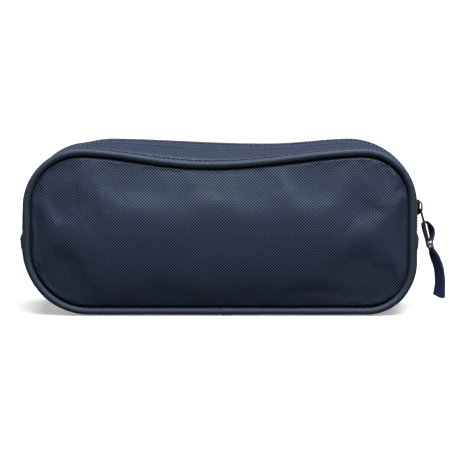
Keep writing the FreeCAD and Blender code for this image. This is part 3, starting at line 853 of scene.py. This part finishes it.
def stitches(points, up, name):
    """A row of stitches along a line of points, with the direction out of the cloth at each.

    Each stitch is a short rod that dips into the cloth at both ends, as a half sine.
    """
    s = sizes()
    gaps = np.linalg.norm(np.diff(points, axis=0), axis=1)
    along = np.concatenate([[0], np.cumsum(gaps)])
    starts = np.arange(0.6 * s.stitch_pitch, along[-1] - s.stitch, s.stitch_pitch)
    share = np.linspace(0, 1, 6)
    places = starts[:, None] + share * s.stitch
    at = np.stack([np.interp(places, along, points[:, i]) for i in range(3)], -1)
    lift_dir = unit(np.stack([np.interp(places, along, up[:, i]) for i in range(3)], -1))
    arch = (np.sin(pi * share) - 0.75) * s.stitch_thread * 0.88
    at = at + lift_dir * arch[None, :, None]
    tangent = unit(np.gradient(at, axis=1))
    side = unit(np.cross(lift_dir, tangent))
    width = s.stitch_thread * (0.55 + 0.45 * np.sin(pi * share))
    grid = rod(at, side, np.cross(tangent, side), np.broadcast_to(width, at.shape[:-1]), 6)
    row = Surface().add(grid, at[:, :, None], wrap_across=True, caps=True)
    return row.make(name, moulded("bonded sewing thread", colours().thread, 0.55))


def make_topstitch(word, side):
    """Three rows along each half of the zip gusset: beside its folded edge, where its hem
    ends, and in the ditch beside the piping."""
    for row_name, depth, stand in (("topstitch", TOP_ROWS[0], 0.1 * MM),
                                   ("hem_stitch", TOP_ROWS[1], 0.1 * MM),
                                   ("ditch_stitch", SEAM_Y - 1.5 * MM, -0.8 * MM)):
        line, outward, _ = crowned(ZIP_RUN, np.array([depth]))
        points = lift(line[:, 0] + outward[:, 0] * stand, side * depth)
        row = stitches(points, lift(outward[:, 0], 0.0), f"{word}_{row_name}")
        finish_side(row, word, "zip_tape")


def make_cross_stitch(word, end):
    """The row that holds the gusset's folded end down over the zip gusset's end."""
    depths = np.linspace(-SEAM_Y + 2 * MM, SEAM_Y - 2 * MM, 60)
    away = np.clip((SEAM_Y - np.abs(depths)) / (SEAM_Y - STRIP_EDGE_Y), 0, 1)
    share = np.sin(pi / 2 * away)
    x = SEAM_HALF * (1 - share) + CREST_HALF * share + 0.85 * MM
    points = np.stack([end * x, depths, np.full(len(depths), CROSS_STITCH)], -1)
    up = np.broadcast_to(np.array([float(end), 0, 0]), points.shape)
    finish(stitches(points, up, f"{word}_cross_stitch"), "case", "zip_tape")


def make_end_tab(word, end):
    """A folded patch of shell cloth over the end of the zip, with soft rounded corners."""
    low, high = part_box(f"{word}_zip_end_tab")
    width, tall = high[1] - low[1], high[2] - low[2]
    u, v = np.linspace(-1, 1, 25), np.linspace(-1, 1, 17)
    y = width / 2 * u[:, None] * np.sqrt(1 - 0.18 * v[None] ** 8)
    z = (low[2] + high[2]) / 2 + tall / 2 * v[None] * np.sqrt(1 - 0.18 * u[:, None] ** 8)
    rim = np.maximum(np.abs(u)[:, None], np.abs(v)[None])
    stand = 0.95 * MM + 0.45 * MM * (1 - rim ** 6) - 0.5 * MM * (np.abs(y) / (width / 2)) ** 2
    x = end * (CREST_HALF + stand)
    grid = np.stack([x, np.broadcast_to(y, x.shape), np.broadcast_to(z, x.shape)], -1)
    tab = Surface().add(grid, CENTRE).make(f"{word}_zip_end_patch", shell_cloth())
    thicken(tab, 0.6 * MM, 0.2 * MM)
    finish(tab, "case", SHELL_FABRIC, f"{word}_zip_end_tab")


# ------------------------------------------------------------------ slider and puller
def pebble(surface, centre, half_y, half_z, levels, corner=4.0, taper=0.0):
    """A closed plate square to X: superellipse rings stacked at levels of (height, scale).

    Taper narrows the plate towards its low end.
    """
    u, v = superellipse(np.linspace(0, 2 * pi, 40, endpoint=False), 2 / corner)
    u = u * (1 - taper * (1 - v) / 2)
    rings = [centre + height * X_AXIS
             + scale * (half_y * u[:, None] * Y_AXIS + half_z * v[:, None] * Z_AXIS)
             for height, scale in levels]
    middle = centre + np.mean([height for height, _ in levels]) * X_AXIS
    surface.add(np.array(rings), middle, wrap_across=True)


def plate_levels(low, high, dome=0.0):
    """Heights and scales for a plate with rounded edges and a slightly domed top."""
    round_by = 0.25 * (high - low)
    return [(low, 0.01), (low, 0.93), (low + round_by, 1.0), (high - round_by, 1.0),
            (high, 0.93), (high + dome, 0.5), (high + dome, 0.01)]


def slider_metal():
    return metal("die-cast zinc, gunmetal plating", colours().slider, 0.3, linear("#3A3638"))


def make_slider():
    """Die-cast slider: domed outer plate, two flanges, inner plate and the post between."""
    low, high = (np.array(corner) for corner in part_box("slider_body"))
    centre = np.array([CREST_HALF, 0.0, SLIDER_Z])
    half_y, half_z = (high[1] - low[1]) / 2, (high[2] - low[2]) / 2
    top, bottom = high[0] - CREST_HALF, low[0] - CREST_HALF
    under_top, inner_wall = top - 0.9 * MM, 0.5 * MM
    body = Surface()
    pebble(body, centre, half_y, half_z, plate_levels(top - 1.1 * MM, top - 0.1 * MM, 0.1 * MM),
           corner=3.2, taper=0.22)
    for side in (-1, 1):
        pebble(body, centre + side * (half_y - 0.5 * MM) * Y_AXIS, 0.5 * MM, half_z * 0.86,
               plate_levels(0.1 * MM, under_top))
    pebble(body, centre, half_y, half_z * 0.95, plate_levels(bottom, bottom + inner_wall),
           corner=3.2, taper=0.22)
    pebble(body, centre + (half_z - 1.2 * MM) * Z_AXIS, 0.3 * MM, 1.0 * MM,
           plate_levels(bottom + 0.4 * MM, under_top), corner=2.5)
    finish(body.make("slider_casting", slider_metal()), "slider", "slider_metal", "slider_body")


def make_bridge():
    """The arch over the slider: a rounded bar along a curve that falls as a fifth power."""
    low, high = (np.array(corner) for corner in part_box("slider_bridge"))
    tall = (high[2] - low[2]) / 2
    share = np.linspace(-1, 1, 25)
    rise = (high[0] - low[0] - 0.5 * MM) * (1 - np.abs(share) ** 5)
    points = np.stack([low[0] - 0.2 * MM + rise, np.zeros(25),
                       SLIDER_Z + (tall - 0.45 * MM) * share], -1)
    outward = np.cross(Y_AXIS, unit(np.gradient(points, axis=0)))
    u, v = superellipse(np.linspace(0, 2 * pi, 16, endpoint=False), 0.55)
    grid = (points[:, None] + 1.1 * MM * u[None, :, None] * Y_AXIS
            + 0.5 * MM * v[None, :, None] * outward[:, None])
    bridge = Surface().add(grid, points[:, None], wrap_across=True, caps=True)
    finish(bridge.make("slider_bridge_casting", slider_metal()), "slider", "slider_metal",
           "slider_bridge")


def puller_axes():
    """The pivot, and the directions down the hanging puller and out of its face."""
    joint = next(j for j in frame["joints"] if j["name"] == "puller_swing")
    pivot = np.array(joint["pos_m"], float)
    lean = np.radians(15.0)
    down = np.array([np.sin(lean), 0, -np.cos(lean)])
    out = np.array([np.cos(lean), 0, np.sin(lean)])
    return pivot, down, out


def make_ribbon():
    """Ribbon through the tab's slot: two strands that meet at the clip and twist on as a tail.

    The middle line of each ply is a smooth line through a few places given as distances
    down the puller and out from its face; the width turns about that line towards the end.
    """
    pivot, down, out = puller_axes()
    tail = np.array([[25.0, 0.7], [30.0, 1.4], [35.4, 1.75], [42.9, 0.6], [48.0, -0.9],
                     [52.0, -2.2]])
    outer = np.array([[7.6, 0.1], [6.9, 1.2], [8.5, 2.3], [12.0, 3.1], [16.0, 2.6], [19.3, 1.35],
                      [21.8, 0.8]])
    inner = np.array([[21.8, -0.5], [19.3, -0.95], [16.0, -1.15], [12.0, -1.3], [8.9, -1.1],
                      [7.8, -0.6]])
    gap = np.array([0.0, 0.42])
    places = np.vstack([tail[::-1] - gap, inner, outer, tail + gap]) * MM
    knots = np.concatenate([[0], np.cumsum(np.linalg.norm(np.diff(places, axis=0), axis=1))])
    fine = np.linspace(0, knots[-1], 260)
    line = np.stack([smooth_through(knots, places[:, i], fine) for i in (0, 1)], -1)
    points = pivot + line[:, :1] * down + line[:, 1:] * out
    turned = np.clip((line[:, 0] - 21 * MM) / (8 * MM), 0, 1)
    turned = turned * turned * (3 - 2 * turned)
    outer_strand = (fine > knots[-1] / 2) * bell(line[:, 0] - 13 * MM, 4.5 * MM)
    twist = -np.radians(6 + 24 * turned + 10 * np.clip(line[:, 0] / (50 * MM), 0, 1) ** 3
                        + 16 * outer_strand)
    width_way = np.cos(twist)[:, None] * Y_AXIS + np.sin(twist)[:, None] * out
    half = 4.0 * MM
    share = np.linspace(-1, 1, 13)
    cut = -1.6 * MM * (share + 0.6 * share ** 2) * (line[:, :1] / (52 * MM)) ** 12
    cupped = 0.25 * MM * (share ** 2)[None, :, None] * np.cross(width_way, down)[:, None]
    centre_turn = width_way[:, None] * (half * share)[None, :, None]
    ply = np.where(fine < knots[-1] / 2, -1.0, 1.0)[:, None] * turned[:, None]
    shift = 0.42 * MM * ply * (np.cross(down, width_way) - out)
    grid = points[:, None] + centre_turn + cupped * turned[:, None, None] + shift[:, None]
    grid = grid + down * cut[..., None]
    ribbon = Surface().add(grid, points[:, None]).make(
        "ribbon_loop", ribbed("polyester grosgrain ribbon", colours().ribbon, 0.75 * MM, 0.1 * MM))
    solid = thicken(ribbon, 0.5 * MM, 0.12 * MM).modifiers["wall"]
    solid.offset = 0
    finish(ribbon, "puller", "ribbon", "pull_ribbon")


def smooth_through(knots, values, places):
    """A curve through values at knots: cubic pieces whose slopes are the mean of the chords'."""
    chord = np.diff(values) / np.diff(knots)
    slope = np.concatenate([chord[:1], (chord[:-1] + chord[1:]) / 2, chord[-1:]])
    piece = np.clip(np.searchsorted(knots, places, side="right") - 1, 0, len(knots) - 2)
    width = np.diff(knots)[piece]
    t = (places - knots[piece]) / width
    start, end = values[piece], values[piece + 1]
    return ((2 * t ** 3 - 3 * t ** 2 + 1) * start + (t ** 3 - 2 * t ** 2 + t) * width * slope[piece]
            + (-2 * t ** 3 + 3 * t ** 2) * end + (t ** 3 - t ** 2) * width * slope[piece + 1])


def make_clip():
    """Stamped clip folded round both strands, with a pressed dimple on each narrow face."""
    pivot, down, out = puller_axes()
    middle = pivot + 20.4 * MM * down
    half_down = 1.85 * MM
    angle = np.linspace(0, 2 * pi, 48, endpoint=False)

    def oval(half_out, half_wide):
        u, v = superellipse(angle, 0.45, 0.25)
        return half_out * u[:, None] * out + half_wide * v[:, None] * Y_AXIS

    outer, inner = oval(1.95 * MM, 4.85 * MM), oval(1.45 * MM, 4.35 * MM)
    steps = [(-1.0, inner), (-1.0, outer * 0.97), (-0.9, outer), (-0.45, outer), (0.0, outer),
             (0.45, outer), (0.9, outer), (1.0, outer * 0.97), (1.0, inner)]
    rings = np.array([middle + half_down * share * down + ring for share, ring in steps])
    clip = Surface().add(rings, middle, wrap_across=True)
    bore = np.array([middle + half_down * share * down + inner for share in (-1.0, 0.0, 1.0)])
    far = bore + (bore - middle) * 10
    clip.add(bore, far, wrap_across=True)
    for side in (-1, 1):
        face = middle + side * 4.82 * MM * Y_AXIS
        ring_at = np.linspace(0, 2 * pi, 24, endpoint=False)
        circle = np.cos(ring_at)[:, None] * out + np.sin(ring_at)[:, None] * down
        levels = [(0.3, 1.15), (0.32, 1.05), (0.2, 0.85), (-0.35, 0.62), (-0.4, 0.01)]
        dimple = np.array([face + side * height * MM * Y_AXIS + radius * MM * circle
                           for height, radius in [(-0.3, 1.3)] + levels])
        clip.add(dimple, face - side * 3 * MM * Y_AXIS, wrap_across=True)
    piece = clip.make("nickel_clip", metal("stamped steel, bright nickel plating", colours().clip,
                                           0.26, linear("#B9B8B4")))
    finish(piece, "puller", "clip", "ribbon_clip")


def dress_pull_tab():
    """The tab keeps its solid; it gets its plating."""
    tab = bpy.data.objects["pull_tab"]
    tab.data.materials.clear()
    tab.data.materials.append(metal("stamped brass, antique finish", colours().tab, 0.28,
                                    linear("#3C3527")))


# ------------------------------------------------------------------ stage
def make_stage():
    """A pale round sweep, soft boxes above and in front, and a long lens a little above.

    The sweep glows more away from the middle, so it stays white where the lamps fade, and
    it sends no light back onto the case.
    """
    reach, radius, wall = 2.4, 0.6, 2.6
    bend = np.linspace(0, pi / 2, 16)
    out = np.concatenate([[0.001, 0.5], reach - radius + radius * np.sin(bend), [reach]])
    height = np.concatenate([[0.0, 0.0], radius - radius * np.cos(bend), [wall]])
    turn = np.linspace(0, 2 * pi, 96, endpoint=False)[:, None]
    grid = np.stack([out * np.cos(turn), out * np.sin(turn), height + 0 * turn], -1)
    floor = Surface().add(grid, np.array([0.0, 0.0, -50.0]), wrap_along=True)
    floor = floor.make("sweep", paper("pale paper sweep", 0.22, 0.7))
    floor.visible_diffuse = floor.visible_glossy = False

    def soft_box(name, place, size, power, target=(0, 0, 0.05)):
        light = bpy.data.lights.new(name, "AREA")
        light.shape, light.size, light.size_y, light.energy = "RECTANGLE", *size, power
        lamp = bpy.data.objects.new(name, light)
        bpy.context.scene.collection.objects.link(lamp)
        lamp.location = place
        aim = Vector(target) - lamp.location
        lamp.rotation_euler = aim.to_track_quat("-Z", "Y").to_euler()

    soft_box("overhead", (0.05, -0.25, 1.1), (1.1, 0.5), 15.5)
    soft_box("key", (0.3, -1.05, 0.98), (1.3, 0.25), 7)
    soft_box("right fill", (0.42, -0.72, 1.08), (0.9, 0.3), 8)
    soft_box("rear fill", (-1.1, 0.9, 0.9), (0.8, 0.5), 3)
    world = bpy.data.worlds.new("studio")
    bpy.context.scene.world = world
    world.use_nodes = True
    background = world.node_tree.nodes["Background"]
    background.inputs[0].default_value = (1.0, 1.0, 1.0, 1.0)
    background.inputs[1].default_value = 0.12

    camera = bpy.data.objects.new("camera", bpy.data.cameras.new("camera"))
    bpy.context.scene.collection.objects.link(camera)
    distance, elevation, view_width = 1.2, np.radians(5.5), 0.2573
    target = Vector((5.07 * MM, -SEAM_Y - 1.0 * MM, 49.5 * MM))
    back_way = Vector((0, -np.cos(elevation), np.sin(elevation)))
    camera.location = target + back_way * distance
    camera.rotation_euler = (-back_way).to_track_quat("-Z", "Y").to_euler()
    camera.data.sensor_width = 36.0
    camera.data.lens = 36.0 * distance / view_width
    camera.data.clip_start, camera.data.clip_end = 0.01, 20
    bpy.context.scene.camera = camera
    bpy.context.scene.view_settings.view_transform = "Standard"


# ------------------------------------------------------------------ operators
class PencilCaseOperator:
    """Shared behaviour: run the builder, and fail loudly."""
    bl_options = {"REGISTER", "UNDO"}

    def execute(self, context):
        self.build()
        return {"FINISHED"}


class PENCILCASE_OT_panels(PencilCaseOperator, bpy.types.Operator):
    """Add the bulging front and rear panels and their linings"""
    bl_idname = "pencil_case.panels"
    bl_label = "Panels and Linings"

    def build(self):
        for word, side in SIDES:
            make_panel(word, side)
            make_lining(word, side)


class PENCILCASE_OT_gusset(PencilCaseOperator, bpy.types.Operator):
    """Add the bottom gusset, its lining, its stitched ends and the tabs over the zip's ends"""
    bl_idname = "pencil_case.gusset"
    bl_label = "Bottom Gusset"

    def build(self):
        make_gusset()
        for word, end in (("left", -1), ("right", 1)):
            make_cross_stitch(word, end)
            make_end_tab(word, end)


class PENCILCASE_OT_piping(PencilCaseOperator, bpy.types.Operator):
    """Add the piping, its filler cord and the binding tape behind it"""
    bl_idname = "pencil_case.piping"
    bl_label = "Piping and Binding"

    def build(self):
        for word, side in SIDES:
            make_piping(word, side)
            make_binding(word, side)


class PENCILCASE_OT_zip(PencilCaseOperator, bpy.types.Operator):
    """Add the zip gusset's strips with their topstitching, the tapes and the coils"""
    bl_idname = "pencil_case.zip"
    bl_label = "Zip"

    def build(self):
        for word, side in SIDES:
            make_strip(word, side)
            make_topstitch(word, side)
            make_tape(word, side)
            make_coil(word, side)


class PENCILCASE_OT_slider(PencilCaseOperator, bpy.types.Operator):
    """Add the zip slider and its bridge"""
    bl_idname = "pencil_case.slider"
    bl_label = "Zip Slider"

    def build(self):
        make_slider()
        make_bridge()


class PENCILCASE_OT_puller(PencilCaseOperator, bpy.types.Operator):
    """Add the ribbon pull and its clip, and finish the metal tab"""
    bl_idname = "pencil_case.puller"
    bl_label = "Ribbon Pull"

    def build(self):
        make_ribbon()
        make_clip()
        dress_pull_tab()


class PENCILCASE_OT_stage(PencilCaseOperator, bpy.types.Operator):
    """Add the backdrop, the lights and the camera"""
    bl_idname = "pencil_case.stage"
    bl_label = "Stage"

    def build(self):
        make_stage()


OPERATORS = (PENCILCASE_OT_panels, PENCILCASE_OT_gusset, PENCILCASE_OT_piping, PENCILCASE_OT_zip,
             PENCILCASE_OT_slider, PENCILCASE_OT_puller, PENCILCASE_OT_stage)


class PENCILCASE_PT_panel(bpy.types.Panel):
    """Lists the sizes, the colours and the pieces in the 3D view's sidebar"""
    bl_idname = "PENCILCASE_PT_panel"
    bl_label = "Pencil Case"
    bl_space_type = "VIEW_3D"
    bl_region_type = "UI"
    bl_category = "Pencil Case"

    def draw(self, context):
        for group in (context.scene.pencil_case_sizes, context.scene.pencil_case_colours):
            column = self.layout.column(align=True)
            for name in group.__annotations__:
                column.prop(group, name)
        for operator in OPERATORS:
            self.layout.operator(operator.bl_idname)


CLASSES = (PencilCaseSizes, PencilCaseColours, *OPERATORS, PENCILCASE_PT_panel)


def register():
    for cls in CLASSES:
        bpy.utils.register_class(cls)
    bpy.types.Scene.pencil_case_sizes = bpy.props.PointerProperty(type=PencilCaseSizes)
    bpy.types.Scene.pencil_case_colours = bpy.props.PointerProperty(type=PencilCaseColours)


def unregister():
    del bpy.types.Scene.pencil_case_colours
    del bpy.types.Scene.pencil_case_sizes
    for cls in reversed(CLASSES):
        bpy.utils.unregister_class(cls)


def main():
    register()
    for name in ("panels", "gusset", "piping", "zip", "slider", "puller", "stage"):
        getattr(bpy.ops.pencil_case, name)()
    bpy.context.view_layer.update()


if __name__ == "__main__":
    main()
